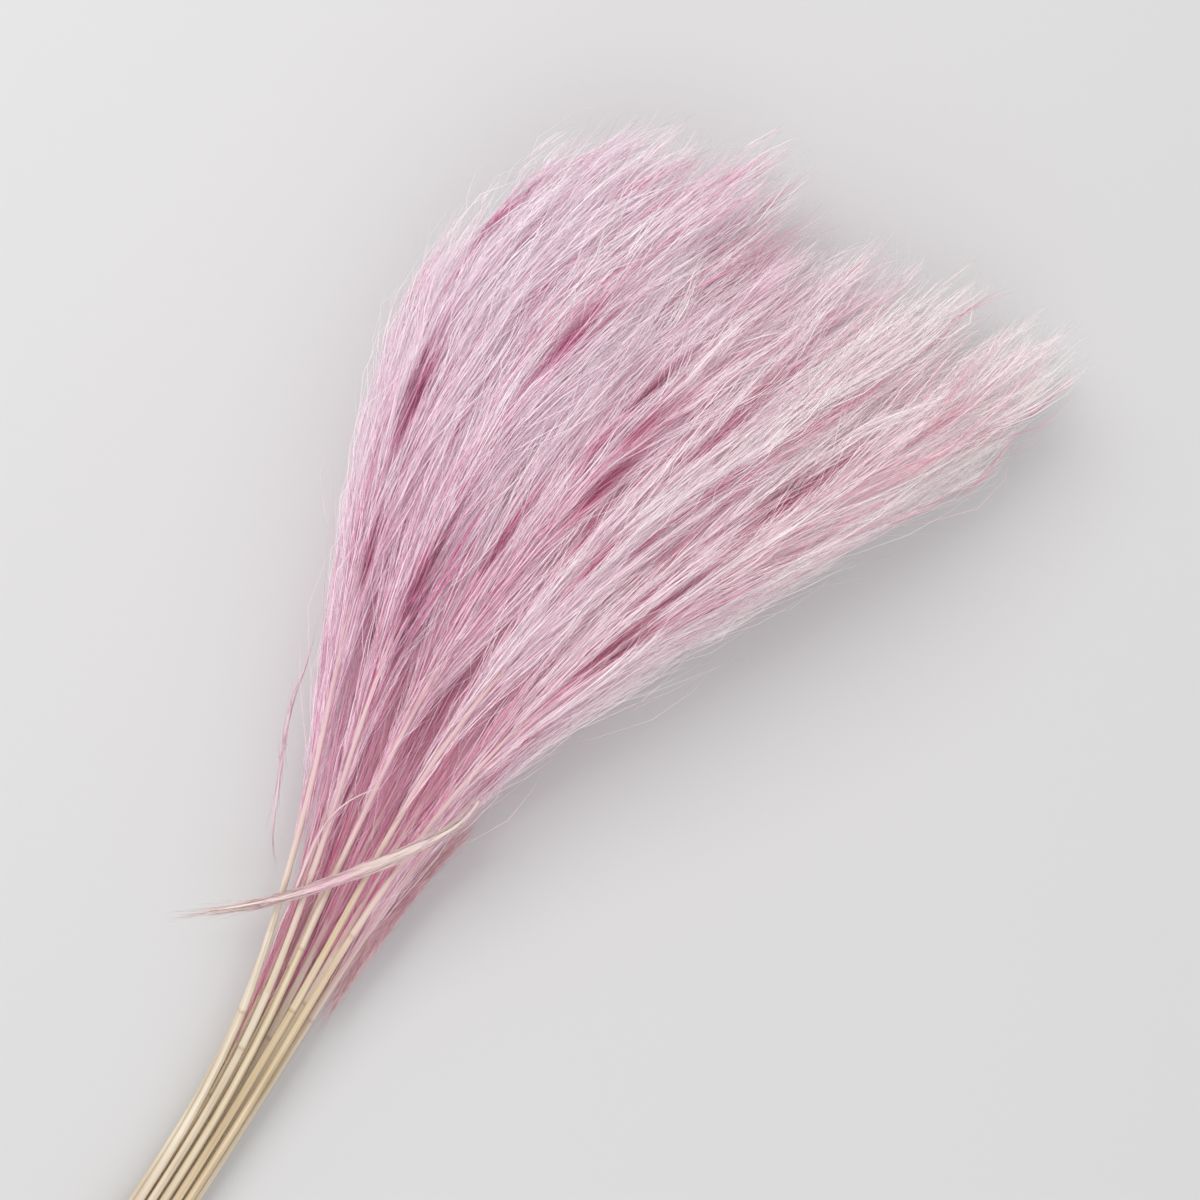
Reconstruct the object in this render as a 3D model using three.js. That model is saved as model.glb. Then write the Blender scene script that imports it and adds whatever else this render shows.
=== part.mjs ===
import * as THREE from "three";

// A bundle of dried, dyed reed plumes lying flat: bare stems held by one elastic band, each
// stem ending in a long feathery plume, and a few loose dried leaf strands caught among them.
// Millimetres. X runs along the bundle from the cut stem ends to the plume tips, Z is up.
// A station is a distance along X from the band.

const gap = 0.35;

// The fan in plan: its left (+Y) and right (-Y) edges at stations along the bundle.
const leftEdge = through([
  [-101, 12.4], [0, 12.4], [60, 13], [117, 26], [167, 42], [238, 72],
  [300, 95], [350, 107], [390, 106], [430, 96], [460, 85], [490, 74],
]);
const rightEdge = through([
  [-101, -12.4], [0, -12.4], [60, -12.6], [129, -13.5], [162, -15.5], [205, -22],
  [259, -38], [305, -57], [375, -90], [415, -107], [450, -120], [490, -133],
]);

// The reeds lie in three rows on top of each other, and a row's share of the height grows
// from one stem's thickness at the band to a full plume's.
const tiePitch = 4.15;
const rowPitch = through([
  [-101, tiePitch], [0, tiePitch], [60, 5.1], [120, 9.3], [200, 16], [300, 22], [380, 21.5],
  [490, 15],
]);

// A stem: its radius at the cut and at the plume, with a joint that swells it on the way. Its
// cut ends are a little uneven, and the longest stem reaches past the rest.
const stemRadius = { cut: 1.85, plume: 1.4, swell: 0.3 };
const stemSides = 8;
const cutStation = -98;
const cutSpread = 7;
const longestStem = 8;
const longestCutStation = -101;
const straightEnd = 40;
const bendStart = 56;
const firstJoint = 88;
const jointToPlume = 6;
const jointHalf = 1;
const jointReach = 3;
const jointPlaces = 5;

// Past the band a stem wanders to one side by this share of the room in its lane.
const wanderStart = 60;
const wanderShare = 0.7;

const band = { thickness: 1.2, width: 5, station: -22, turnsPerStem: 16 };

// The band lies on the table, and holds the lowest row a little above it.
const tieFloor = stemRadius.cut + gap + band.thickness - tiePitch / 2;
const floorRun = [40, 150];

// Between these stations the reeds go from packed at the band to spread over the fan.
const fanRun = [20, 280];

// Each row from its right edge to its left one: where every plume starts and ends, how much
// of the row's width it takes next to the others, and how far it rides above its row.
const rows = [
  {
    tieWidth: 5 / 6,
    fanWidth: 0.95,
    lean: -3,
    reeds: [
      [118, 470, 1, 0], [104, 458, 0.9, 0], [140, 463, 1.1, 0], [108, 464, 1, 0],
      [150, 408, 0.9, 0],
    ],
  },
  {
    tieWidth: 1,
    fanWidth: 1,
    lean: 0,
    reeds: [
      [122, 476, 1, 0], [150, 471, 1.15, 0], [134, 465, 0.9, 0], [160, 470, 1.1, 0],
      [112, 474, 0.95, 0], [146, 434, 0.9, 0],
    ],
  },
  {
    tieWidth: 5 / 6,
    fanWidth: 0.92,
    lean: 2,
    reeds: [
      [165, 474, 1, 1], [188, 466, 0.85, 4], [170, 472, 1.2, 0], [156, 468, 0.9, 5],
      [174, 474, 1.05, 2],
    ],
  },
];

// A plume, in shares of its length: full by grow, thinning from fade on to its tip's size.
// The lowest ones are pressed to this share of their half height where they lie.
const plumeShape = { root: -0.03, grow: 0.3, fade: 0.78, tip: 0.55, pressed: 0.35 };
const plumeSides = 12;
const plumeSteps = 16;

const leafThickness = 0.4;
const leafSteps = 22;

const straw = ["#d8c3a0", "#cdb48d", "#dccbb0", "#c7ab80"];
const pinks = ["#dcb2c2", "#e3bfc9", "#d3a2b8", "#e6c6cc"];
const leafColour = "#e6d3cf";
const bandColour = "#b8a88f";
const roughness = { stem: 0.6, plume: 0.9, leaf: 0.8, band: 0.7 };

// A smooth function through [station, value] points.
function through(points) {
  const stations = points.map((point) => point[0]);
  const values = points.map((point) => point[1]);
  const curve = new THREE.CubicInterpolant(stations, values, 1);
  return (station) => curve.evaluate(station)[0];
}

function ramp(value, low, high) {
  return THREE.MathUtils.smoothstep(value, low, high);
}

function dried(color, piece) {
  return new THREE.MeshStandardMaterial({ color, roughness: roughness[piece], metalness: 0 });
}

// The height of the underside of the lowest row.
function floorHeight(station) {
  return tieFloor * (1 - ramp(station, ...floorRun));
}

function rowHeight(row, station) {
  return floorHeight(station) + rowPitch(station) * (row + 0.5);
}

function sum(values) {
  return values.reduce((total, value) => total + value, 0);
}

// The part of a row's width that one reed has to itself, as its middle and half its width.
function lane(row, place, station) {
  const { reeds, tieWidth, fanWidth, lean } = rows[row];
  const left = leftEdge(station);
  const right = rightEdge(station);
  const opened = ramp(station, ...fanRun);
  const width = (left - right) * THREE.MathUtils.lerp(tieWidth, fanWidth, opened);
  const bulks = reeds.map(([, , bulk]) => THREE.MathUtils.lerp(1, bulk, opened));
  const unit = width / sum(bulks);
  const rowRight = (left + right) / 2 + lean * opened - width / 2;
  const middle = rowRight + unit * (sum(bulks.slice(0, place)) + bulks[place] / 2);
  return { middle, half: (unit * bulks[place]) / 2 };
}

function reedHeight(row, place, station) {
  const [, , , lift] = rows[row].reeds[place];
  return rowHeight(row, station) + lift * ramp(station, ...fanRun);
}

// A closed body along X, given by its middle and half sizes at each of its stations.
function bodyAlong(stations, sides, sectionAt, floor = -Infinity) {
  const last = stations.length - 1;
  const profile = stations.map((_, index) => new THREE.Vector2(1, index));
  profile.unshift(new THREE.Vector2(0, 0));
  profile.push(new THREE.Vector2(0, last));
  const geometry = new THREE.LatheGeometry(profile, sides, Math.PI / sides);
  const position = geometry.attributes.position;
  for (let i = 0; i < position.count; i += 1) {
    const station = stations[Math.round(position.getY(i))];
    const section = sectionAt(station);
    const y = section.y + position.getZ(i) * section.halfWidth;
    const z = section.z + position.getX(i) * section.halfHeight;
    position.setXYZ(i, station, y, Math.max(z, floor));
  }
  geometry.computeVertexNormals();
  return geometry;
}

function evenStations(start, end, steps) {
  return Array.from({ length: steps + 1 }, (_, i) => start + ((end - start) * i) / steps);
}

// A stem leaves the band straight, wanders a little inside its lane and meets its plume.
function stemGeometry(row, place, number) {
  const [plumeStart] = rows[row].reeds[place];
  const unevenCut = cutStation + ((number * 5) % cutSpread);
  const cut = number === longestStem ? longestCutStation : unevenCut;
  const end = plumeStart - gap;
  const jointShare = ((number * 3) % jointPlaces) / jointPlaces;
  const joint = THREE.MathUtils.lerp(firstJoint, end - jointToPlume, jointShare);
  const stations = [
    ...evenStations(cut, straightEnd, 4),
    ...evenStations(bendStart, joint - jointReach, 3),
    joint - jointHalf,
    joint + jointHalf,
    ...evenStations(joint + jointReach, end, 3),
  ];
  const sectionAt = (station) => {
    const { middle, half } = lane(row, place, station);
    const along = (station - cut) / (end - cut);
    const plain = THREE.MathUtils.lerp(stemRadius.cut, stemRadius.plume, along);
    const atJoint = Math.abs(station - joint) < (jointHalf + jointReach) / 2;
    const radius = atJoint ? plain + stemRadius.swell : plain;
    const spare = Math.max(0, half - plain - stemRadius.swell - gap);
    const wandered = THREE.MathUtils.clamp((station - wanderStart) / (end - wanderStart), 0, 1);
    const side = number % 2 === 0 ? wanderShare : -wanderShare;
    return {
      y: middle + side * spare * Math.sin(Math.PI * wandered),
      z: reedHeight(row, place, station),
      halfWidth: radius,
      halfHeight: radius,
    };
  };
  return bodyAlong(stations, stemSides, sectionAt);
}

// How full a plume is along its length: slim where it leaves the stem, then full, then fading.
function fullness(along) {
  const fade = THREE.MathUtils.lerp(1, plumeShape.tip, ramp(along, plumeShape.fade, 1));
  return ramp(along, plumeShape.root, plumeShape.grow) * fade;
}

function plumeSection(row, place, station) {
  const [start, end] = rows[row].reeds[place];
  const { middle, half } = lane(row, place, station);
  const full = fullness((station - start) / (end - start));
  const slim = stemRadius.plume;
  return {
    y: middle,
    z: reedHeight(row, place, station),
    halfWidth: slim + (half - gap - slim) * full,
    halfHeight: slim + (rowPitch(station) / 2 - gap - slim) * full,
  };
}

// The lowest plumes are pressed flat where they lie on the table.
function plumeGeometry(row, place) {
  const [start, end] = rows[row].reeds[place];
  const stations = evenStations(start, end, plumeSteps);
  if (row > 0) {
    return bodyAlong(stations, plumeSides, (station) => plumeSection(row, place, station));
  }
  const pressed = (station) => {
    const section = plumeSection(row, place, station);
    const press = section.halfHeight * plumeShape.pressed;
    const top = section.z + section.halfHeight;
    return { ...section, z: (top - press) / 2, halfHeight: (top + press) / 2 };
  };
  return bodyAlong(stations, plumeSides, pressed, 0);
}

// The height just clear of everything in the top row.
function topHeight(station) {
  const top = rows.length - 1;
  const heights = rows[top].reeds.map(([start], place) => {
    const plumed = station > start;
    const half = plumed ? plumeSection(top, place, station).halfHeight : stemRadius.cut;
    return reedHeight(top, place, station) + half;
  });
  return Math.max(...heights) + gap;
}

// A dried leaf strand: a flat ribbon along a curve through plan points [station, y, height].
function leafGeometry(points, width) {
  const route = new THREE.CatmullRomCurve3(points.map((point) => new THREE.Vector3(...point)));
  const section = new THREE.Shape();
  section.moveTo(-leafThickness / 2, -width / 2);
  section.lineTo(leafThickness / 2, -width / 2);
  section.lineTo(leafThickness / 2, width / 2);
  section.lineTo(-leafThickness / 2, width / 2);
  section.closePath();
  return new THREE.ExtrudeGeometry(section, { steps: leafSteps, extrudePath: route });
}

// The outline that a band pulled tight takes round the stems, at a clearance from them.
function tightOutline(clearance) {
  const reach = stemRadius.cut + clearance;
  const corners = [];
  rows.forEach(({ reeds }, row) => {
    for (const place of [0, reeds.length - 1]) {
      const { middle } = lane(row, place, 0);
      for (let turn = 0; turn < band.turnsPerStem; turn += 1) {
        const angle = (turn / band.turnsPerStem) * 2 * Math.PI;
        const y = middle + reach * Math.cos(angle);
        corners.push(new THREE.Vector2(y, rowHeight(row, 0) + reach * Math.sin(angle)));
      }
    }
  });
  return convexOutline(corners);
}

function convexOutline(points) {
  const sorted = [...points].sort((a, b) => a.x - b.x || a.y - b.y);
  const half = (list) => {
    const chain = [];
    for (const point of list) {
      while (chain.length > 1 && !turnsLeft(chain.at(-2), chain.at(-1), point)) {
        chain.pop();
      }
      chain.push(point);
    }
    return chain.slice(0, -1);
  };
  return [...half(sorted), ...half([...sorted].reverse())];
}

function turnsLeft(a, b, c) {
  const nearlyStraight = 1e-6;
  return (b.x - a.x) * (c.y - a.y) - (b.y - a.y) * (c.x - a.x) > nearlyStraight;
}

function bandGeometry() {
  const ring = new THREE.Shape(tightOutline(gap + band.thickness));
  ring.holes.push(new THREE.Path(tightOutline(gap)));
  const geometry = new THREE.ExtrudeGeometry(ring, { depth: band.width, bevelEnabled: false });
  const alongX = new THREE.Matrix4().makeBasis(
    new THREE.Vector3(0, 1, 0),
    new THREE.Vector3(0, 0, 1),
    new THREE.Vector3(1, 0, 0),
  );
  return geometry.applyMatrix4(alongX).translate(band.station, 0, 0);
}

const bundle = new THREE.Group();

function add(name, geometry, material) {
  const mesh = new THREE.Mesh(geometry, material);
  mesh.name = name;
  bundle.add(mesh);
}

let number = 0;
rows.forEach(({ reeds }, row) => {
  reeds.forEach((_, place) => {
    number += 1;
    const label = String(number).padStart(2, "0");
    const tone = (number * 3) % straw.length;
    add(`stem_${label}`, stemGeometry(row, place, number), dried(straw[tone], "stem"));
    add(`plume_${label}`, plumeGeometry(row, place), dried(pinks[tone], "plume"));
  });
});

// The loose strands, each with its width and its plan points [station, y]. Those with a lift
// lie over the stems, that far above the top row; the others bow out beside the middle row.
const leaves = {
  leaf_crossing: {
    width: 3.4,
    lift: 2,
    plan: [[112, 46], [134, 23], [147, 13], [168, -1], [181, -10.7], [207, -19]],
  },
  leaf_thread: {
    width: 1.2,
    lift: 0.6,
    plan: [[112, 17], [138, 22], [151, 24], [166, 25.8], [179, 22.8], [190, 16]],
  },
  leaf_left_loop: {
    width: 2,
    plan: [[142, 37], [156, 46], [169, 51], [181, 57.3], [193, 61.7], [203, 64], [218, 68]],
  },
  leaf_right_edge: {
    width: 2.2,
    plan: [[100, -15.5], [130, -15.5], [165, -18], [190, -22]],
  },
};
for (const [name, { width, lift, plan }] of Object.entries(leaves)) {
  const height = (station) => (lift ? topHeight(station) + lift : rowHeight(1, station));
  const points = plan.map(([station, y]) => [station, y, height(station)]);
  add(name, leafGeometry(points, width), dried(leafColour, "leaf"));
}
add("tie_band", bandGeometry(), dried(bandColour, "band"));

// The bundle's box stands on the ground plane, centred over the origin.
const box = new THREE.Box3().setFromObject(bundle);
const centre = box.getCenter(new THREE.Vector3());
bundle.position.set(-centre.x, -centre.y, -box.min.z);

export default bundle;
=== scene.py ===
import math

import bpy
import numpy as np
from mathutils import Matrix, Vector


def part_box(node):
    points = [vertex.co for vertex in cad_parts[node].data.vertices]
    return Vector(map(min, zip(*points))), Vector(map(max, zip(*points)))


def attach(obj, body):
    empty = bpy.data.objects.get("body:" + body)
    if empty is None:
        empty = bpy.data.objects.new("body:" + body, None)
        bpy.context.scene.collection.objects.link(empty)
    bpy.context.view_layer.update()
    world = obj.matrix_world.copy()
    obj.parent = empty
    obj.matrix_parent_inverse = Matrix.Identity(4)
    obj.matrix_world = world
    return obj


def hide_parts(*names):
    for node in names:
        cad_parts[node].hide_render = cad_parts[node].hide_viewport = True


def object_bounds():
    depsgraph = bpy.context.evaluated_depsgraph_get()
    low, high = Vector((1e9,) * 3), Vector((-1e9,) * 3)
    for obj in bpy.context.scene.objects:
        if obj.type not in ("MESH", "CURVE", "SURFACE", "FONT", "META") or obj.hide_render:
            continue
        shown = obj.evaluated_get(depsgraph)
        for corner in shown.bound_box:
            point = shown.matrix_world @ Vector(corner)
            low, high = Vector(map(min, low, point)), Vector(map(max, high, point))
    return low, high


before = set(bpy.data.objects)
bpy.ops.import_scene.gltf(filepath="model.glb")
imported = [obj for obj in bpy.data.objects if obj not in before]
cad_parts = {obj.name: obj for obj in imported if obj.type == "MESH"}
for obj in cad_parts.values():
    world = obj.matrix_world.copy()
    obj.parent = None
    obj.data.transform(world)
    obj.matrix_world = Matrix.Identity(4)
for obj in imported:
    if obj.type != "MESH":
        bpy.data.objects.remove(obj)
cad_box = [list(corner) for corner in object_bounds()]
bpy.ops.object.select_all(action="DESELECT")

# A bundle of dried reed: straw stems held by a band, feathery dyed plumes and loose leaf
# strands. Sizes are in millimetres unless a name says otherwise; meshes are in metres.
MM = 0.001
REEDS = 16
ROOT = "root"

# Plumes: each is built of sprays, a spray of locks, and a lock of fine hairs. A place along
# a plume is a share of its length, and a place across it is a share of its half width and
# half height. The covered plumes lie under the rest: their hair is given painted shade, a
# deeper tone, and starts lower on the stem.
COVERED = (2, 3, 4, 7, 8, 9, 10)
COVERED_SHADE_TONE = -0.2
COVERED_START = -0.2
OPEN_START = -0.07
LEAST_HALF_WIDTH = 2.8
OVER_WIDE = 1.35
FLARE_FROM = 0.7
TIP_FLARE = 0.4
PLUME_SEED = 400

# Sprays: where each leaves the stem and ends, how far out it goes and how far round the stem
# it turns from the one before, in radians. The last one runs up the middle.
SPRAYS = 9
LAST_SPRAY_START = 0.27
SPRAY_STARTS_LEAN = 1.7
SPRAY_ENDS = (0.84, 1.06)
SPRAY_OUT = (0.45, 0.78)
MIDDLE_SPRAY_OUT = 0.1
SPRAY_CURVE = 2.4
SPRAY_TURN = 2.4
SPRAY_TURN_VARIES = 0.5
SPRAY_TONE = 0.5

# Locks: the first of a spray are the longest. Gather is how far a hair's tip lies from its
# lock's middle against its root, and sway how far a lock waves, over WAVES radians.
LOCKS = 243
LOCK_STARTS_LEAN = 1.3
LAST_LOCK = 0.14
LOCK_LENGTHS = (0.2, 0.5)
LOCK_LENGTH_VARIES = (0.6, 1.25)
PAST_SPRAY = (-0.04, 0.01)
LOCK_OUT = 0.5
LOCK_RADIUS = 1.6
THIN_RADIUS = 0.5
RADIUS_OF_ROOM = 0.25
GATHER = (0.15, 1.35)
SWAY = 0.17
WAVES = 4.0
LOCK_TONE = 0.7
DARK_LOCKS, DARK_TONE = 0.14, -1.4
PALE_LOCKS, PALE_TONE = 0.14, 0.9
# Deep locks: thin locks in a very deep rose, painted shade for the dark slits between locks.
DEEP_LOCKS, DEEP_SHADE_TONE, DEEP_GATHER = 0.06, -3.4, 0.2

# Hollows: the narrow gaps where a plume's sprays part; the hair there is pressed down and
# given painted shade, a deeper tone
HOLLOWS = 5
HOLLOW_ALONG = (0.26, 0.76)
HOLLOW_ASIDE = 0.7
HOLLOW_LONG = (0.03, 0.08)
HOLLOW_WIDE = (0.07, 0.16)
HOLLOW_SHADE_TONE = -0.68
HOLLOW_DEPTH = 4.5

# Hairs: fine ones and long ones. Some are wisps, which stand off their lock. Stray is in
# degrees, reach in lock lengths and limp in hair lengths.
HAIRS, HAIR_WIDTH, HAIR_LENGTHS = 6700, 0.36, (15, 38)
LONG_HAIRS, LONG_WIDTH, LONG_LENGTHS = 1500, 0.44, (34, 75)
HAIR_REACH = (0.1, 0.85)
PAST_LOCK = 1.05
ROOT_SPREAD = 0.8
STRAY = (1.1, 6.5)
STRAY_GROWS = 1.3
STRAY_CURVE = 1.6
SWEEP_VARIES = 0.9
LIMP = 0.028
TIP_LIMP = 0.02
THICKNESS_VARIES = (0.65, 1.3)
WISP_SHARE = 0.09
WISP_FOOT_TO_TIP = (0.5, 2.6)
WISP_STRAY = 20
WISP_LIMP = 0.07
WISP_THINNER = 0.4

# Tone runs from 0, deep rose, to 1, nearly white. The plumes furthest from the bundle's
# middle line are bleached most. Warmth runs from lilac on one side to peach on the other.
FOOT_TONE = 0.34
TONE_OF_LOCK = 0.2
# Painted shade: TONE_OUTWARD makes hair nearer a plume's core a deeper rose.
TONE_OUTWARD = 0.22
TONE_ALONG_PLUME = 0.23
TONE_ALONG_HAIR = 0.2
TONE_OF_WISP = 0.22
TONE_VARIES = 0.07
PALE_AT_FOOT = 0.35
BLEACH = 0.13
MIDDLE_Y = 30.0
EDGE_REACH = 60.0
WARMTH_WIDTH = 190
WARMTH_VARIES = 0.15

# How far hairs may stand past the bundle's outline, and over what distance they are eased in
PROUD = 8.0
EASE = 6.0

# Stems: a joint's and a sheath's places are measured along the stem. How thick a stem is
# there is a share of its plain radius.
STEM_SIDES = 14
CUT_RADIUS = 1.85
PLUME_RADIUS = 1.2
TIP_RADIUS = 0.35
WALL = 0.5
BORE_DEPTH = 9
STATIONS = 18
PLUME_STATIONS = 12
JOINT_SHAPE = ((-1.6, 1.0), (-0.7, 1.17), (0.3, 1.2), (1.0, 1.06))
JOINT_BEFORE, JOINT_AFTER = 2, 1.6
JOINT_AT = (0.62, 0.9)
JOINT_STAIN, JOINT_STAIN_BEFORE = 0.8, 0.4
SHEATH_LENGTHS = (20, 46)
SHEATH_THICK = 1.06
SHEATH_LIP, LIP_THICK = 0.6, 1.07
STEM_DEGREE = 5
ROUTE_POINTS = 24
REACH_INTO_PLUME = 0.5
RISE, RISE_RATE, RISE_CURVE = 0.62, 1.7, 0.7
PINK_FROM, PINK_OVER = 0.8, 0.16
GRAIN_APART = 310
STEM_SEED = 900

# Loose leaf strands and the fibres that have frayed from them
LEAF_POINTS = 40
LEAF_DEGREE = 5
LEAF_GRID = (48, 6)
LEAF_THICKNESS = 0.16
LEAF_FULLEST = 0.62
LEAF_TAPER = 0.9
LEAF_CREASE = 0.45
FIBRE_WIDTH = 0.24
FIBRE_LENGTHS = (0.16, 0.42)
FIBRES_TO_TIP = 0.6
FIBRE_ROOTS = (-0.3, 0.28)
FIBRE_CURL = 1.5
FIBRE_LIFT = (-0.4, 1.6)
FIBRE_GATHER = 0.6

# Band
BAND_ROUNDING = 0.4

# Table, lights and camera, in metres, watts and degrees. Only the camera's sensor and the
# way from the band's middle to the point that it looks at are in millimetres.
TABLE_SIZE = 6
TABLE_BELOW = 0.0002
ROOM_LIGHT = 0.78
WINDOW_POWER = 18
FILL_POWER = 6
AIM_FROM_BAND = (313.5, -15.3, 0)
CAMERA_TURN = -57
CAMERA_HEIGHT = 0.75
BUNDLE_MIDDLE_HEIGHT = 0.025
FIELD = 0.4615
SENSOR = 36


def span(low, high, share):
    return low + (high - low) * share


# ---------------------------------------------------------------------------------------
# Shaders
# ---------------------------------------------------------------------------------------


class Number:
    """A shader number. Python's operators on it add Math nodes."""

    def __init__(self, paint, socket):
        self.paint = paint
        self.socket = socket

    def __add__(self, other):
        return self.paint.math("ADD", self, other)

    def __sub__(self, other):
        return self.paint.math("SUBTRACT", self, other)

    def __mul__(self, other):
        return self.paint.math("MULTIPLY", self, other)

    def __radd__(self, other):
        return self.paint.math("ADD", other, self)

    def __rsub__(self, other):
        return self.paint.math("SUBTRACT", other, self)

    def __rmul__(self, other):
        return self.paint.math("MULTIPLY", other, self)


class Paint:
    """One material with its nodes."""

    def __init__(self, name):
        self.material = bpy.data.materials.new(name)
        self.material.use_nodes = True
        self.tree = self.material.node_tree
        self.tree.nodes.clear()

    def node(self, kind, settings=None, inputs=None):
        """Adds a node: its settings first, then what its sockets are given or linked to."""
        node = self.tree.nodes.new(kind)
        for name, value in (settings or {}).items():
            if name == "stops":
                self.set_stops(node.color_ramp, value)
            else:
                setattr(node, name, value)
        for name, value in (inputs or {}).items():
            socket = node.inputs[name]
            value = getattr(value, "socket", value)
            if isinstance(value, bpy.types.NodeSocket):
                self.tree.links.new(value, socket)
            else:
                socket.default_value = value
        return node

    @staticmethod
    def set_stops(ramp, stops):
        while len(ramp.elements) < len(stops):
            ramp.elements.new(0.5)
        for element, (place, colour) in zip(ramp.elements, stops):
            element.position = place
            element.color = (*colour, 1)

    def math(self, operation, first, second):
        node = self.node("ShaderNodeMath", {"operation": operation}, {0: first, 1: second})
        return Number(self, node.outputs[0])

    def attribute(self, name):
        return self.node("ShaderNodeAttribute", {"attribute_name": name})

    def number(self, name):
        return Number(self, self.attribute(name).outputs["Fac"])

    def ramp(self, amount, stops):
        return self.node("ShaderNodeValToRGB", {"stops": stops}, {0: amount}).outputs["Color"]

    def between(self, amount, low, high):
        """Turns low to high into 0 to 1, held at both ends."""
        limits = {"Value": amount, "From Min": low, "From Max": high}
        return Number(self, self.node("ShaderNodeMapRange", None, limits).outputs[0])

    def mix(self, amount, first, second, blend="MIX"):
        settings = {"data_type": "RGBA", "blend_type": blend}
        first = (*first, 1) if isinstance(first, tuple) else first
        second = (*second, 1) if isinstance(second, tuple) else second
        node = self.node("ShaderNodeMix", settings, {0: amount, 6: first, 7: second})
        return node.outputs[2]

    def noise(self, place, stretch, scale, detail=3.0):
        """Noise of a scale per metre, on a place drawn out by a stretch on each axis."""
        drawn = self.node(
            "ShaderNodeVectorMath", {"operation": "MULTIPLY"}, {0: place, 1: stretch}
        )
        inputs = {"Vector": drawn.outputs[0], "Scale": scale, "Detail": detail}
        return Number(self, self.node("ShaderNodeTexNoise", None, inputs).outputs["Fac"])

    def finish(self, surface, height=None, depth=0.0):
        """The surface's sockets, with a bump of a depth in metres if a height is given."""
        if height is not None:
            bump = self.node("ShaderNodeBump", None, {"Height": height, "Distance": depth})
            surface["Normal"] = bump.outputs["Normal"]
        shader = self.node("ShaderNodeBsdfPrincipled", None, surface)
        output = self.node("ShaderNodeOutputMaterial")
        self.tree.links.new(shader.outputs["BSDF"], output.inputs["Surface"])
        return self.material


def dyed_plume_paint():
    """Silky dyed hair, pale at the tips, lilac to peach. Its deeper rose inside the plume, in
    the hollows, in the deep locks and on covered plumes is painted shade, and a faint emission
    in its own colour is a painted glow that lifts its shaded parts.
    """
    paint = Paint("dyed plume")
    tone = paint.number("tone")
    warmth = paint.number("warmth")
    cool = paint.ramp(
        tone,
        [
            (0.0, (0.66, 0.19, 0.38)),
            (0.3, (0.83, 0.45, 0.61)),
            (0.6, (0.91, 0.71, 0.83)),
            (1.0, (0.95, 0.88, 0.92)),
        ],
    )
    warm = paint.ramp(
        tone,
        [
            (0.0, (0.68, 0.20, 0.32)),
            (0.3, (0.85, 0.47, 0.57)),
            (0.6, (0.92, 0.75, 0.81)),
            (1.0, (0.95, 0.90, 0.90)),
        ],
    )
    colour = paint.mix(warmth, cool, warm)
    return paint.finish(
        {
            "Base Color": colour,
            "Roughness": 0.6,
            "Sheen Weight": 0.3,
            "Sheen Roughness": 0.4,
            "Specular IOR Level": 0.3,
            # Painted glow: a faint emission in the hair's own colour lifts its shaded parts.
            "Emission Color": colour,
            "Emission Strength": 0.09,
        }
    )


def dried_stem_paint():
    """Dried reed: straw with fine lengthwise ridges, paler sheaths and brown joints."""
    paint = Paint("dried stem")
    grain = paint.attribute("grain").outputs["Vector"]
    sheath = paint.number("sheath")
    joint = paint.number("joint")
    pink = paint.number("pink")
    pale = paint.number("pale")
    streak = paint.noise(grain, (14.0, 1500.0, 1500.0), 1.0)
    patch = paint.noise(grain, (28.0, 160.0, 160.0), 1.0, 2.0)
    mottle = streak * 0.6 + patch * 0.4
    tan = paint.ramp(
        mottle,
        [
            (0.25, (0.36, 0.25, 0.14)),
            (0.42, (0.56, 0.43, 0.27)),
            (0.55, (0.68, 0.55, 0.37)),
            (0.75, (0.80, 0.69, 0.51)),
        ],
    )
    cream = paint.ramp(
        mottle,
        [
            (0.25, (0.47, 0.38, 0.29)),
            (0.42, (0.67, 0.58, 0.46)),
            (0.55, (0.76, 0.68, 0.57)),
            (0.75, (0.84, 0.78, 0.69)),
        ],
    )
    colour = paint.mix(paint.between(pale + sheath * 0.3, 0.1, 1.0), tan, cream)
    colour = paint.mix(joint * 0.55, colour, (0.34, 0.20, 0.10))
    colour = paint.mix(pink * 0.85, colour, (0.72, 0.49, 0.54))
    ridges = paint.noise(grain, (10.0, 2600.0, 2600.0), 1.0, 2.0)
    return paint.finish({"Base Color": colour, "Roughness": 0.5}, ridges, 0.00025)


def dried_leaf_paint():
    """A thin dried leaf: cream with a faint dyed flush and fine veins along it."""
    paint = Paint("dried leaf")
    grain = paint.attribute("grain").outputs["Vector"]
    veins = paint.noise(grain, (12.0, 2200.0, 300.0), 1.0)
    flush = paint.noise(grain, (30.0, 60.0, 60.0), 1.0, 1.0)
    colour = paint.ramp(
        veins,
        [
            (0.3, (0.58, 0.42, 0.41)),
            (0.5, (0.72, 0.57, 0.55)),
            (0.7, (0.83, 0.72, 0.68)),
        ],
    )
    colour = paint.mix(paint.between(flush, 0.45, 0.7), colour, (0.74, 0.50, 0.56))
    colour = paint.mix(paint.number("rose"), colour, (0.70, 0.33, 0.42))
    colour = paint.mix(paint.number("lilac"), colour, (0.76, 0.58, 0.68))
    return paint.finish({"Base Color": colour, "Roughness": 0.7}, veins, 0.0002)


def elastic_band_paint():
    """An old natural rubber band: tan, a little bloomed."""
    paint = Paint("elastic band")
    place = paint.node("ShaderNodeTexCoord").outputs["Object"]
    bloom = paint.noise(place, (1.0, 1.0, 1.0), 700.0)
    colour = paint.ramp(bloom, [(0.3, (0.42, 0.31, 0.19)), (0.7, (0.58, 0.46, 0.31))])
    return paint.finish(
        {"Base Color": colour, "Roughness": bloom * 0.3 + 0.45}, bloom, 0.0002
    )


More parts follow.
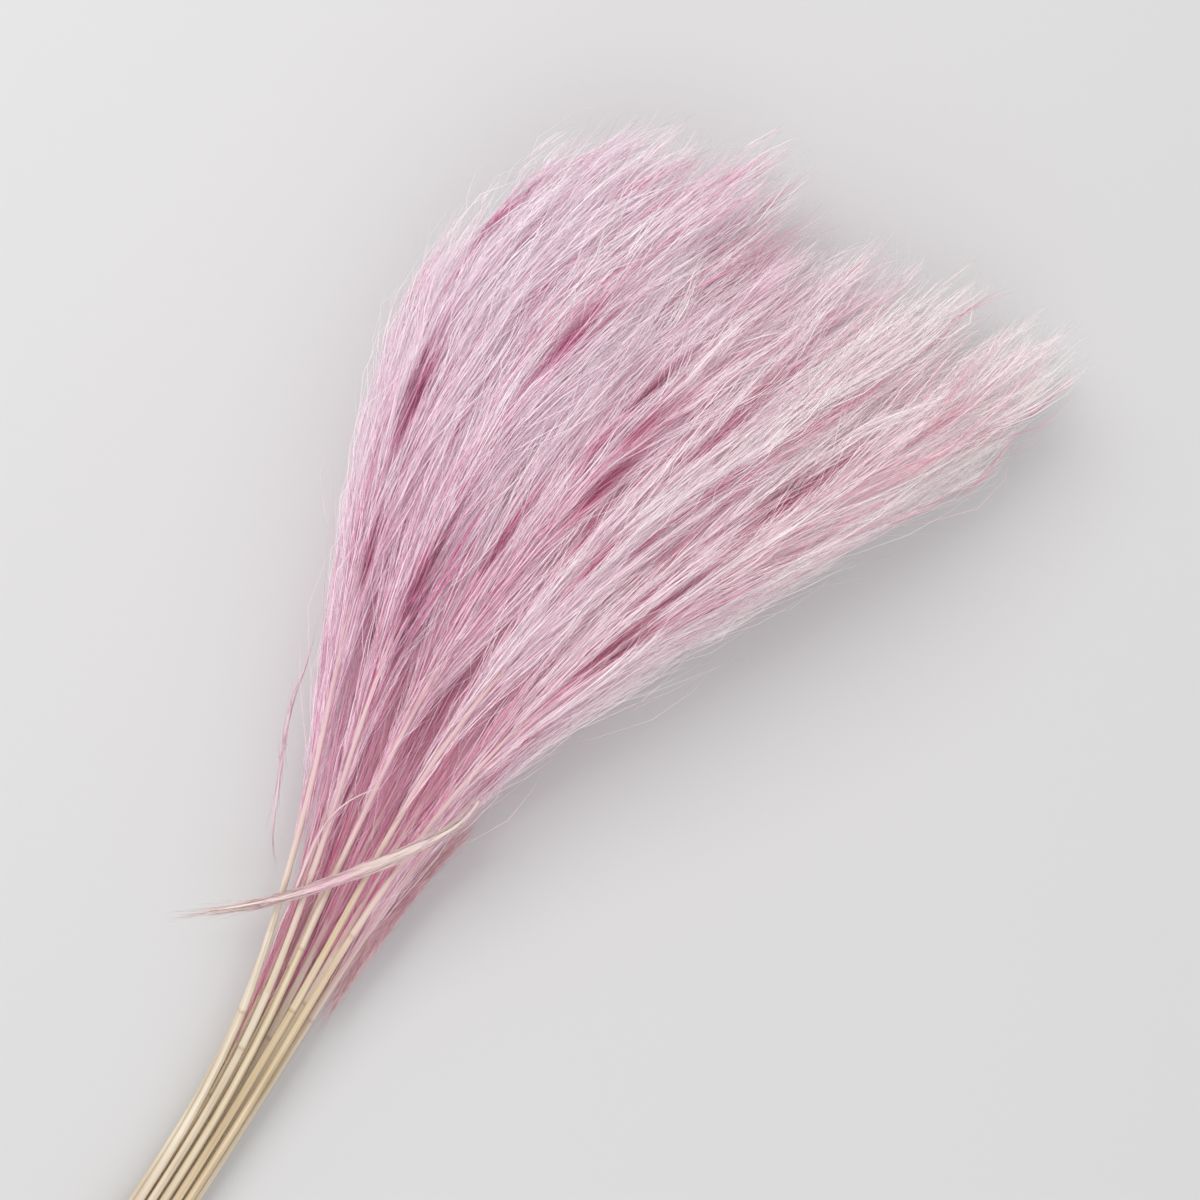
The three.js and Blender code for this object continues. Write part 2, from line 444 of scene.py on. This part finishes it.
PAINTS = {
    "dyed_plume": dyed_plume_paint(),
    "dried_stem": dried_stem_paint(),
    "dried_leaf": dried_leaf_paint(),
    "elastic_band": elastic_band_paint(),
}


# ---------------------------------------------------------------------------------------
# What the solids say
# ---------------------------------------------------------------------------------------


def corners_of(mesh):
    values = np.empty(len(mesh.vertices) * 3)
    mesh.vertices.foreach_get("co", values)
    return values.reshape(-1, 3)


def rings_of(node, apart=0.2):
    """A solid's corners in millimetres, one group for each of its stations along X."""
    corners = np.unique(corners_of(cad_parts[node].data).round(6), axis=0) / MM
    corners = corners[np.argsort(corners[:, 0])]
    breaks = np.flatnonzero(np.diff(corners[:, 0]) > apart) + 1
    return np.split(corners, breaks)


class Route:
    """The line through a solid's middle, with its half width and half height on the way."""

    def __init__(self, node, degree=6, least=0.0):
        rings = rings_of(node)
        low = np.array([ring.min(axis=0) for ring in rings])
        high = np.array([ring.max(axis=0) for ring in rings])
        self.start = low[0, 0]
        self.end = high[-1, 0]
        self.length = self.end - self.start
        share = (low[:, 0] - self.start) / self.length
        middle = (low + high) / 2
        half = (high - low) / 2
        measures = (middle[:, 1], middle[:, 2], half[:, 1], half[:, 2])
        self.fits = [np.polyfit(share, measure, degree) for measure in measures]
        self.least = least

    def at(self, share):
        """Middle y and z, half width and half height, at a share of the length."""
        held = np.clip(share, 0.0, 1.0)
        values = [np.polyval(fit, held) for fit in self.fits]
        for index in (0, 1):
            slope = np.polyval(np.polyder(self.fits[index]), held)
            values[index] = values[index] + (share - held) * slope
        for index in (2, 3):
            values[index] = np.maximum(values[index], self.least)
        return values

    def place(self, share, across, up):
        """The point at a share of the length, across and up in half widths and heights."""
        middle_y, middle_z, half_y, half_z = self.at(share)
        x = self.start + self.length * share
        return np.stack([x, middle_y + across * half_y, middle_z + up * half_z], axis=-1)


# ---------------------------------------------------------------------------------------
# Modelling helpers
# ---------------------------------------------------------------------------------------


def edit(piece):
    bpy.ops.object.select_all(action="DESELECT")
    piece.select_set(True)
    bpy.context.view_layer.objects.active = piece
    bpy.ops.object.mode_set(mode="EDIT")


def leave_edit():
    bpy.ops.object.mode_set(mode="OBJECT")


def pick(piece, chosen):
    """In edit mode, selects the corners whose place passes a test, and what they close."""
    leave_edit()
    for polygon in piece.data.polygons:
        polygon.select = False
    for edge in piece.data.edges:
        edge.select = False
    for corner in piece.data.vertices:
        corner.select = chosen(corner.co)
    bpy.ops.object.mode_set(mode="EDIT")
    bpy.ops.mesh.select_mode(type="VERT")


def push(x, scale=1.0):
    """Extrudes what is selected along X and scales the new ring about the X axis."""
    bpy.ops.mesh.extrude_region_move(TRANSFORM_OT_translate={"value": (x, 0, 0)})
    if scale != 1.0:
        bpy.ops.transform.resize(value=(1, scale, scale), center_override=(0, 0, 0))


def apply_modifier(piece, kind, **settings):
    modifier = piece.modifiers.new(kind, kind)
    for name, value in settings.items():
        setattr(modifier, name, value)
    bpy.context.view_layer.objects.active = piece
    bpy.ops.object.modifier_apply(modifier=modifier.name)


def bend_along(piece, points):
    """Bends a piece that is straight along X onto a route through points in metres."""
    curve = bpy.data.curves.new("bend", "CURVE")
    curve.dimensions = "3D"
    curve.twist_mode = "Z_UP"
    spline = curve.splines.new("POLY")
    spline.points.add(len(points) - 1)
    for point, place in zip(spline.points, points):
        point.co = (*place, 1)
    guide = bpy.data.objects.new("bend", curve)
    bpy.context.collection.objects.link(guide)
    apply_modifier(piece, "CURVE", object=guide, deform_axis="POS_X")
    bpy.data.objects.remove(guide)
    bpy.data.curves.remove(curve)


def set_number(mesh, name, values):
    attribute = mesh.attributes.new(name, "FLOAT", "POINT")
    attribute.data.foreach_set("value", np.asarray(values, dtype=np.float32).ravel())


def keep_grain(mesh, shift=(0.0, 0.0, 0.0)):
    """Stores where each corner is while the piece is straight, for its grain to follow."""
    attribute = mesh.attributes.new("grain", "FLOAT_VECTOR", "POINT")
    values = corners_of(mesh) + np.array(shift)
    attribute.data.foreach_set("vector", values.astype(np.float32).ravel())


def hand_over(piece, slot, *nodes):
    """Paints a finished piece and sets it in place of its solids."""
    piece.data.materials.clear()
    piece.data.materials.append(PAINTS[slot])
    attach(piece, ROOT)
    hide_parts(*nodes)


# ---------------------------------------------------------------------------------------
# Plumes
# ---------------------------------------------------------------------------------------


class Strand:
    """A closed three-sided strand, pointed at both ends, from x = 0 to 1."""

    def __init__(self, rings):
        step = 1 / (rings + 1)
        bpy.ops.mesh.primitive_circle_add(
            vertices=3, radius=1, location=(step, 0, 0), rotation=(0, math.pi / 2, 0)
        )
        strand = bpy.context.object
        bpy.ops.object.transform_apply(location=True, rotation=True, scale=True)
        edit(strand)
        for _ in range(rings):
            push(step)
        bpy.ops.mesh.merge(type="CENTER")
        pick(strand, lambda corner: corner.x < step * 1.5)
        push(-step)
        bpy.ops.mesh.merge(type="CENTER")
        bpy.ops.mesh.select_all(action="SELECT")
        bpy.ops.mesh.normals_make_consistent(inside=False)
        bpy.ops.mesh.quads_convert_to_tris()
        leave_edit()
        self.corners = corners_of(strand.data)
        self.corners[:, 0] = np.clip(self.corners[:, 0], 0, 1)
        self.faces = np.array([list(face.vertices) for face in strand.data.polygons])
        mesh = strand.data
        bpy.data.objects.remove(strand)
        bpy.data.meshes.remove(mesh)


FINE_HAIR = Strand(2)
LONG_HAIR = Strand(3)


def fullness(share):
    """How thick a strand is on its way, from 0 at its points to 1."""
    return math.sin(math.pi * min(share * 1.25, 0.5 + share / 2))


def press(points, depth=3.0, least=0.15):
    """Keeps points above the table: those in the lowest few millimetres lie flatter."""
    low = points[..., 2]
    flat = least + (depth - least) * np.exp((low - depth) / depth)
    points[..., 2] = np.where(low < depth, flat, low)
    return points


def keep_within(points):
    """Eases hairs that would stand out past the bundle's outline back towards it."""
    for axis, way, corner in ((0, 1, 1), (1, 1, 1), (1, -1, 0), (2, 1, 1)):
        edge = way * cad_box[corner][axis] / MM + PROUD
        out = np.maximum(way * points[..., axis] - edge + EASE, 0)
        points[..., axis] -= way * (out - EASE * (1 - np.exp(-out / EASE)))
    return points


class Locks:
    """The locks of one plume. They make up sprays that leave the stem one after another,
    and each lock leaves the middle of its spray and then runs along with it."""

    def __init__(self, route, low_start, rng):
        self.route = route
        spray = np.arange(SPRAYS)
        order = (spray + rng.random(SPRAYS)) / SPRAYS
        self.spray_start = span(low_start, LAST_SPRAY_START, order**SPRAY_STARTS_LEAN)
        self.spray_end = rng.uniform(*SPRAY_ENDS, SPRAYS)
        self.spray_out = rng.uniform(*SPRAY_OUT, SPRAYS)
        self.spray_out[-1] = MIDDLE_SPRAY_OUT
        off = rng.uniform(-SPRAY_TURN_VARIES, SPRAY_TURN_VARIES, SPRAYS)
        self.spray_turn = spray * SPRAY_TURN + off
        spray_tone = rng.uniform(-1.0, 1.0, SPRAYS)
        self.spray = np.arange(LOCKS) % SPRAYS
        first = self.spray_start[self.spray]
        last = self.spray_end[self.spray]
        self.start = span(first, last - LAST_LOCK, rng.random(LOCKS) ** LOCK_STARTS_LEAN)
        left = (last - self.start) / (last - first)
        long = span(*LOCK_LENGTHS, left) * rng.uniform(*LOCK_LENGTH_VARIES, LOCKS)
        self.long = np.minimum(long, last + rng.uniform(*PAST_SPRAY, LOCKS) - self.start)
        self.out = LOCK_OUT * np.sqrt(rng.random(LOCKS))
        self.turn = rng.uniform(0, 2 * math.pi, LOCKS)
        self.gather = rng.uniform(*GATHER, LOCKS)
        self.sway = rng.normal(0, SWAY, (2, LOCKS))
        self.sweep = rng.uniform(0, 2 * math.pi, LOCKS)
        self.phase = rng.uniform(0, 2 * math.pi, LOCKS)
        own_tone = rng.uniform(-1.0, 1.0, LOCKS)
        self.tone = SPRAY_TONE * spray_tone[self.spray] + LOCK_TONE * own_tone
        self.tone[rng.random(LOCKS) < DARK_LOCKS] += DARK_TONE
        self.tone[rng.random(LOCKS) < PALE_LOCKS] += PALE_TONE
        # A few thin locks are given painted shade: a very deep rose for the dark slits between
        # locks.
        deep = rng.random(LOCKS) < DEEP_LOCKS
        self.tone[deep] = DEEP_SHADE_TONE
        self.gather[deep] = DEEP_GATHER
        self.hollow_at = rng.uniform(*HOLLOW_ALONG, HOLLOWS)
        self.hollow_side = rng.uniform(-HOLLOW_ASIDE, HOLLOW_ASIDE, HOLLOWS)
        self.hollow_long = rng.uniform(*HOLLOW_LONG, HOLLOWS)
        self.hollow_wide = rng.uniform(*HOLLOW_WIDE, HOLLOWS)

    def hollow(self, points):
        """How deep each point lies in one of the plume's hollows, from 0 to 1."""
        share = (points[..., 0] - self.route.start) / self.route.length
        middle_y, _, half_y, _ = self.route.at(share)
        side = (points[..., 1] - middle_y) / half_y
        most = np.zeros(share.shape)
        for number in range(HOLLOWS):
            off_along = (share - self.hollow_at[number]) / self.hollow_long[number]
            off_aside = (side - self.hollow_side[number]) / self.hollow_wide[number]
            most = np.maximum(most, np.exp(-(off_along**2) - off_aside**2))
        return most

    def lengthwise(self, which, share):
        return self.start[which] + self.long[which] * share

    def across_and_up(self, which, share):
        """Where a lock's middle is across the plume and up it, at a share of its length."""
        spray = self.spray[which]
        at = self.lengthwise(which, share)
        run = (at - self.spray_start[spray]) / (self.spray_end - self.spray_start)[spray]
        spray_reach = self.spray_out[spray] * (1 - (1 - np.clip(run, 0, 1)) ** SPRAY_CURVE)
        reach = self.out[which] * (1 - (1 - np.clip(share, 0, 1)) ** 2)
        wave = np.sin(share * WAVES + self.phase[which]) * share
        across = spray_reach * np.cos(self.spray_turn[spray]) + reach * np.cos(self.turn[which])
        up = spray_reach * np.sin(self.spray_turn[spray]) + reach * np.sin(self.turn[which])
        return across + self.sway[0][which] * wave, up + self.sway[1][which] * wave

    def along(self, which, share):
        """The point in a lock's middle at a share of its length."""
        across, up = self.across_and_up(which, share)
        at = self.lengthwise(which, share)
        flare = 1 + TIP_FLARE * np.clip((at - FLARE_FROM) / (1 - FLARE_FROM), 0, 1) ** 1.5
        return self.route.place(at, across * OVER_WIDE * flare, up)


def tones_of(locks, which, begin, wisp, depth, rng):
    """How pale each hair is: by its lock, by how far out and along it is, and by chance. The
    deeper tone of hair further in and on covered plumes is painted shade.
    """
    lengthwise = locks.lengthwise(which, begin)
    outward = np.hypot(*locks.across_and_up(which, begin))
    lock_tone = locks.tone[which]
    paling = np.clip(PALE_AT_FOOT + lengthwise, 0, 1)
    lock_tone = np.where(lock_tone > 0, lock_tone * paling, lock_tone)
    # Painted shade: hair nearer the plume's core is deeper rose, and depth darkens covered
    # plumes.
    tone = FOOT_TONE + TONE_OF_LOCK * lock_tone + TONE_OUTWARD * outward
    tone = tone + TONE_ALONG_PLUME * lengthwise + depth
    tone = tone + rng.normal(0, TONE_VARIES, len(which)) + TONE_OF_WISP * wisp
    edge = np.clip(np.abs(locks.route.at(lengthwise)[0] - MIDDLE_Y) / EDGE_REACH, 0, 1)
    return tone + BLEACH * edge * lengthwise


def sideways(angle):
    """Unit lines that stand away from the X axis, each at an angle round it."""
    return np.stack([np.zeros(len(angle)), np.cos(angle), np.sin(angle)], axis=-1)


def hairs_of(strand, locks, count, width, lengths, depth, rng):
    """Copies of a strand, laid along the locks of a plume, with each one's tone and warmth."""
    lock_length = locks.long * locks.route.length
    which = rng.choice(LOCKS, count, p=lock_length / lock_length.sum())
    length = rng.uniform(*lengths, count)
    reach = np.clip(length / lock_length[which], *HAIR_REACH)
    begin = rng.random(count) * (PAST_LOCK - reach)
    lengthwise = locks.lengthwise(which, begin)
    on_plume = np.clip(lengthwise, 0, 1)
    wisp = rng.random(count) < WISP_SHARE * span(*WISP_FOOT_TO_TIP, on_plume)
    room = locks.route.at(lengthwise)[3]
    radius = np.minimum(LOCK_RADIUS, RADIUS_OF_ROOM * room + THIN_RADIUS)
    angle = rng.uniform(0, 2 * math.pi, count)
    near = radius * np.sqrt(rng.random(count)) * ROOT_SPREAD
    far = near * locks.gather[which]
    loose = span(*STRAY, np.clip(lengthwise * STRAY_GROWS, 0, 1))
    stray = np.abs(rng.normal(0, 1, count)) * loose + WISP_STRAY * wisp * rng.random(count)
    sweep = locks.sweep[which] + rng.normal(0, SWEEP_VARIES, count)
    swept = sideways(sweep) * (length * np.tan(np.radians(stray)))[:, None]
    limp = (LIMP + TIP_LIMP * on_plume + WISP_LIMP * wisp) * length
    bend = rng.normal(0, 1, (count, 3)) * limp[:, None] * [0, 1, 1]
    thick = width * rng.uniform(*THICKNESS_VARIES, count) * (1 - WISP_THINNER * wisp)
    roll = rng.uniform(0, 2 * math.pi, count)
    cos, sin = np.cos(roll), np.sin(roll)
    tone = tones_of(locks, which, begin, wisp, depth, rng)
    away = sideways(angle)
    placed, tones = [], []
    for share, across, up in strand.corners:
        middle = locks.along(which, begin + reach * share)
        offset = away * span(near, far, share)[:, None] + swept * share**STRAY_CURVE
        offset = offset + bend * math.sin(math.pi * share)
        ring = np.stack([0 * cos, across * cos - up * sin, across * sin + up * cos], axis=-1)
        placed.append(middle + offset + ring * (thick / 2 * fullness(share))[:, None])
        tones.append(tone + TONE_ALONG_HAIR * share)
    corners = np.stack(placed, axis=1)
    # Hair in a hollow is pressed down, and its tone is lowered there as painted shade.
    hollow = locks.hollow(corners)
    corners[..., 2] -= HOLLOW_DEPTH * hollow
    warmth = np.clip(0.5 - corners[:, :1, 1] / WARMTH_WIDTH, 0, 1)
    warmth = warmth + rng.normal(0, WARMTH_VARIES, (count, 1))
    numbers = {
        "tone": np.clip(np.stack(tones, axis=1) + HOLLOW_SHADE_TONE * hollow, 0, 1),
        "warmth": np.clip(np.repeat(warmth, len(strand.corners), axis=1), 0, 1),
    }
    return strand, press(keep_within(corners)), numbers


def mesh_of(name, groups):
    """One mesh of many strands. A group is (strand, corners, {attribute: values})."""
    corners, faces, values = [], [], {}
    count = 0
    for strand, placed, numbers in groups:
        copies, each = placed.shape[:2]
        offsets = count + each * np.arange(copies)
        faces.append((strand.faces[None] + offsets[:, None, None]).reshape(-1, 3))
        corners.append(placed.reshape(-1, 3))
        for key, value in numbers.items():
            values.setdefault(key, []).append(value.ravel())
        count += copies * each
    corners = np.concatenate(corners)
    faces = np.concatenate(faces)
    mesh = bpy.data.meshes.new(name)
    mesh.vertices.add(len(corners))
    mesh.vertices.foreach_set("co", (corners * MM).astype(np.float32).ravel())
    mesh.loops.add(faces.size)
    mesh.loops.foreach_set("vertex_index", faces.astype(np.int32).ravel())
    mesh.polygons.add(len(faces))
    mesh.polygons.foreach_set("loop_start", np.arange(0, faces.size, 3, dtype=np.int32))
    mesh.polygons.foreach_set("use_smooth", np.ones(len(faces), dtype=bool))
    mesh.update(calc_edges=True)
    for key, value in values.items():
        set_number(mesh, key, np.concatenate(value))
    return mesh


def plume(number):
    """A feathery plume in place of its solid."""
    node = f"plume_{number:02d}"
    rng = np.random.default_rng(PLUME_SEED + number)
    covered = number in COVERED
    low_start = COVERED_START if covered else OPEN_START
    locks = Locks(Route(node, least=LEAST_HALF_WIDTH), low_start, rng)
    # Painted shade: a covered plume's hair is given a deeper tone.
    depth = COVERED_SHADE_TONE if covered else 0.0
    groups = [
        hairs_of(FINE_HAIR, locks, HAIRS, HAIR_WIDTH, HAIR_LENGTHS, depth, rng),
        hairs_of(LONG_HAIR, locks, LONG_HAIRS, LONG_WIDTH, LONG_LENGTHS, depth, rng),
    ]
    piece = bpy.data.objects.new(f"feathery_{node}", mesh_of(node, groups))
    bpy.context.collection.objects.link(piece)
    hand_over(piece, "dyed_plume", node)


# ---------------------------------------------------------------------------------------
# Stems
# ---------------------------------------------------------------------------------------


def straight_stem(length, joint, sheath_length, solid):
    """A reed stem along X from its hollow cut end to its fine tip inside the plume.

    Up to the length called solid it stands clear of the plume; past that it thins to a point.
    """
    bpy.ops.mesh.primitive_circle_add(
        vertices=STEM_SIDES, radius=CUT_RADIUS, rotation=(0, math.pi / 2, 0)
    )
    stem = bpy.context.object
    bpy.ops.object.transform_apply(location=False, rotation=True, scale=True)
    edit(stem)
    bpy.ops.transform.resize(value=(1, MM, MM), center_override=(0, 0, 0))
    end = joint + sheath_length
    swellings = {joint + place: thick for place, thick in JOINT_SHAPE}
    swellings.update({end - SHEATH_LIP: LIP_THICK, end: 1.0})
    marks = {*np.linspace(0, solid, STATIONS), *np.linspace(solid, length, PLUME_STATIONS)}
    joint_start, joint_end = joint - JOINT_BEFORE, joint + JOINT_AFTER
    clear = [mark for mark in marks if mark > 0 and not joint_start < mark < joint_end]
    last, radius = 0.0, CUT_RADIUS
    for mark in sorted([*clear, *swellings]):
        if mark <= solid:
            plain = span(CUT_RADIUS, PLUME_RADIUS, mark / solid)
        else:
            plain = span(PLUME_RADIUS, TIP_RADIUS, (mark - solid) / (length - solid))
        wrapped = SHEATH_THICK if joint < mark < end - SHEATH_LIP else 1.0
        new_radius = plain * swellings.get(mark, wrapped)
        push((mark - last) * MM, new_radius / radius)
        last, radius = mark, new_radius
    bpy.ops.mesh.merge(type="CENTER")
    pick(stem, lambda corner: corner.x < 0.1 * MM)
    push(0, (CUT_RADIUS - WALL) / CUT_RADIUS)
    push(BORE_DEPTH * MM)
    bpy.ops.mesh.merge(type="CENTER")
    bpy.ops.mesh.select_all(action="SELECT")
    bpy.ops.mesh.normals_make_consistent(inside=False)
    bpy.ops.mesh.faces_shade_smooth()
    leave_edit()
    return stem


def eased(points, passes=10):
    """Takes the sharp turns out of a route, with its two ends left where they are."""
    for _ in range(passes):
        middle = (points[:-2] + 2 * points[1:-1] + points[2:]) / 4
        points = np.concatenate([points[:1], middle, points[-1:]])
    return points


def stem(number):
    """A reed stem in place of its solid, that runs on into its plume. Past the plume's foot
    it rises towards the top of the hair, and deeper in it comes back to the middle."""
    node = f"stem_{number:02d}"
    rng = np.random.default_rng(STEM_SEED + number)
    below = Route(node, degree=STEM_DEGREE)
    above = Route(f"plume_{number:02d}")
    shares = np.linspace(0, 1, ROUTE_POINTS)
    first = below.place(shares, 0, 0)
    rise = RISE * np.sin(np.clip(shares[1:] * RISE_RATE, 0, 1) * math.pi) ** RISE_CURVE
    second = above.place(shares[1:] * REACH_INTO_PLUME, 0, rise)
    points = eased(np.concatenate([first, second]))
    steps = np.linalg.norm(np.diff(points, axis=0), axis=1)
    length = steps.sum()
    solid = steps[: len(first) - 1].sum()
    joint = span(*JOINT_AT, rng.random()) * solid
    sheath_length = rng.uniform(*SHEATH_LENGTHS)
    piece = straight_stem(length, joint, sheath_length, solid)
    piece.name = f"reed_stem_{number:02d}"
    mesh = piece.data
    mesh.name = piece.name
    x = corners_of(mesh)[:, 0] / MM
    stain = (x - joint + JOINT_STAIN_BEFORE) / JOINT_STAIN
    set_number(mesh, "joint", np.exp(-(stain**2)))
    set_number(mesh, "sheath", ((x > joint) & (x < joint + sheath_length)).astype(float))
    set_number(mesh, "pink", np.clip((x - solid * PINK_FROM) / (length * PINK_OVER), 0, 1))
    set_number(mesh, "pale", np.full(len(x), rng.random()))
    keep_grain(mesh, (number * GRAIN_APART * MM, 0.0, 0.0))
    bend_along(piece, points * MM)
    hand_over(piece, "dried_stem", node)


# ---------------------------------------------------------------------------------------
# Loose leaf strands
# ---------------------------------------------------------------------------------------


def fringe(length, spread, aside, count, rng):
    """Fine fibres that run beside a leaf strand, towards either end of it, and curl away."""
    heading = np.where(rng.random(count) < FIBRES_TO_TIP, 1.0, -1.0)
    long = rng.uniform(*FIBRE_LENGTHS, count) * length
    root = 0.5 + heading * rng.uniform(*FIBRE_ROOTS, count)
    beside = rng.uniform(-1, 1, count) * spread + aside
    curl = rng.normal(0, FIBRE_CURL, count)
    lift = rng.uniform(*FIBRE_LIFT, count)
    placed = []
    for share, across, up in LONG_HAIR.corners:
        thick = FIBRE_WIDTH * fullness(share)
        x = root * length + heading * long * share
        y = beside * (1 - FIBRE_GATHER * share) + curl * share**2 + across * thick * heading
        placed.append(np.stack([x, y, lift * share**2 + up * thick], axis=-1))
    mesh = mesh_of("fringe", [(LONG_HAIR, np.stack(placed, axis=1), {})])
    fibres = bpy.data.objects.new("fringe", mesh)
    bpy.context.collection.objects.link(fibres)
    return fibres


def leaf(node, seed, width, twist, tip, fibres, spread, aside=0.0, rose=0.0, lilac=0.0):
    """A dried leaf strand: a thin ribbon, creased along its middle, tapering and twisted,
    with fibres that have frayed from it.

    The twist is in radians over its length, and the tip's width is a share of the width. The
    fibres start within the spread of a line that runs aside of the ribbon.
    """
    corners = corners_of(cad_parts[node].data) / MM
    x = np.linspace(corners[:, 0].min(), corners[:, 0].max(), LEAF_POINTS)
    past = corners[:, 0] - x[0]
    fits = [np.polyfit(past, corners[:, axis], LEAF_DEGREE) for axis in (1, 2)]
    points = np.stack([x, *[np.polyval(fit, x - x[0]) for fit in fits]], axis=-1)
    length = np.linalg.norm(np.diff(points, axis=0), axis=1).sum()
    along, wide = LEAF_GRID
    bpy.ops.mesh.primitive_grid_add(x_subdivisions=along, y_subdivisions=wide, size=1)
    ribbon = bpy.context.object
    bpy.ops.object.transform_apply(location=True, rotation=True, scale=True)
    edit(ribbon)
    bpy.ops.transform.translate(value=(0.5, 0, 0))
    bpy.ops.transform.resize(value=(length * MM, width * MM, 1), center_override=(0, 0, 0))
    leave_edit()
    corners = corners_of(ribbon.data)
    share = corners[:, 0] / (length * MM)
    from_fullest = np.abs(share - LEAF_FULLEST) / LEAF_FULLEST
    narrow = span(tip, 1.0, np.clip(1 - from_fullest, 0, 1) ** LEAF_TAPER)
    ragged = 1 + 0.2 * np.sin(share * 11 + seed) + 0.12 * np.sin(share * 27)
    across = corners[:, 1] * (narrow * ragged)
    crease = (0.5 * width * MM - np.abs(across)) * LEAF_CREASE
    turn = twist * (share - 0.5)
    corners[:, 1] = across * np.cos(turn) - crease * np.sin(turn)
    corners[:, 2] = across * np.sin(turn) + crease * np.cos(turn)
    ribbon.data.vertices.foreach_set("co", corners.ravel())
    apply_modifier(ribbon, "SOLIDIFY", thickness=LEAF_THICKNESS * MM, offset=0)
    frayed = fringe(length, spread, aside, fibres, np.random.default_rng(seed))
    bpy.ops.object.select_all(action="DESELECT")
    frayed.select_set(True)
    ribbon.select_set(True)
    bpy.context.view_layer.objects.active = ribbon
    bpy.ops.object.join()
    keep_grain(ribbon.data)
    for flush, amount in (("rose", rose), ("lilac", lilac)):
        set_number(ribbon.data, flush, np.full(len(ribbon.data.vertices), amount))
    bend_along(ribbon, points * MM)
    for polygon in ribbon.data.polygons:
        polygon.use_smooth = True
    ribbon.name = node.replace("leaf_", "") + "_leaf"
    hand_over(ribbon, "dried_leaf", node)


def band():
    """The elastic band: its solid's loop with rounded edges."""
    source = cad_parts["tie_band"]
    piece = bpy.data.objects.new("elastic_loop", source.data.copy())
    bpy.context.collection.objects.link(piece)
    edit(piece)
    bpy.ops.mesh.select_all(action="SELECT")
    bpy.ops.mesh.remove_doubles(threshold=0.01 * MM)
    bpy.ops.mesh.dissolve_limited(angle_limit=math.radians(1))
    leave_edit()
    apply_modifier(
        piece,
        "BEVEL",
        width=BAND_ROUNDING * MM,
        segments=3,
        limit_method="ANGLE",
        angle_limit=math.radians(50),
    )
    for polygon in piece.data.polygons:
        polygon.use_smooth = True
    hand_over(piece, "elastic_band", "tie_band")


for reed in range(1, REEDS + 1):
    stem(reed)
    plume(reed)
leaf("leaf_crossing", 71, width=4.2, twist=1.9, tip=0.08, fibres=340, spread=2.2)
leaf("leaf_thread", 72, width=1.1, twist=2.5, tip=0.3, fibres=5, spread=0.6)
leaf("leaf_left_loop", 73, width=1.3, twist=2.2, tip=0.2, fibres=40, spread=0.8, lilac=0.75)
leaf(
    "leaf_right_edge",
    74,
    width=1.0,
    twist=1.8,
    tip=0.15,
    fibres=420,
    spread=3.0,
    aside=2.6,
    rose=0.5,
)
band()


# ---------------------------------------------------------------------------------------
# Table, light and camera
# ---------------------------------------------------------------------------------------


def table():
    bpy.ops.mesh.primitive_plane_add(size=TABLE_SIZE, location=(0, 0, -TABLE_BELOW))
    top = bpy.context.object
    top.name = "table_top"
    surface = {"Base Color": (0.60, 0.60, 0.61, 1), "Roughness": 0.7}
    top.data.materials.append(Paint("table").finish(surface))


def soft_light(name, place, size, power, colour):
    """A square lamp that faces the origin."""
    data = bpy.data.lights.new(name, "AREA")
    data.size = size
    data.energy = power
    data.color = colour
    lamp = bpy.data.objects.new(name, data)
    lamp.location = place
    down = -np.array(place)
    lamp.rotation_euler = (
        math.acos(-down[2] / np.linalg.norm(down)),
        0,
        math.atan2(-down[0], down[1]),
    )
    bpy.context.collection.objects.link(lamp)


def surroundings():
    world = bpy.data.worlds.new("soft room")
    world.use_nodes = True
    background = world.node_tree.nodes["Background"]
    background.inputs["Color"].default_value = (1.0, 0.99, 0.98, 1)
    background.inputs["Strength"].default_value = ROOM_LIGHT
    bpy.context.scene.world = world
    soft_light("window", (0.5, 1.1, 1.5), 1.2, WINDOW_POWER, (1.0, 0.98, 0.95))
    soft_light("fill", (-0.9, -0.8, 1.3), 1.6, FILL_POWER, (0.95, 0.97, 1.0))


def camera():
    """Looks straight down, with the bundle running up and to the right."""
    low, high = (np.array(corner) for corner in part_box("tie_band"))
    aim = (low + high) / 2 + np.array(AIM_FROM_BAND) * MM
    data = bpy.data.cameras.new("camera")
    data.sensor_width = SENSOR
    data.lens = SENSOR * CAMERA_HEIGHT / FIELD
    eye = bpy.data.objects.new("camera", data)
    eye.location = (aim[0], aim[1], CAMERA_HEIGHT + BUNDLE_MIDDLE_HEIGHT)
    eye.rotation_euler = (0, 0, math.radians(CAMERA_TURN))
    bpy.context.collection.objects.link(eye)
    bpy.context.scene.camera = eye


table()
surroundings()
camera()
bpy.context.scene.view_settings.view_transform = "Standard"
bpy.context.scene.cycles.diffuse_bounces = 10
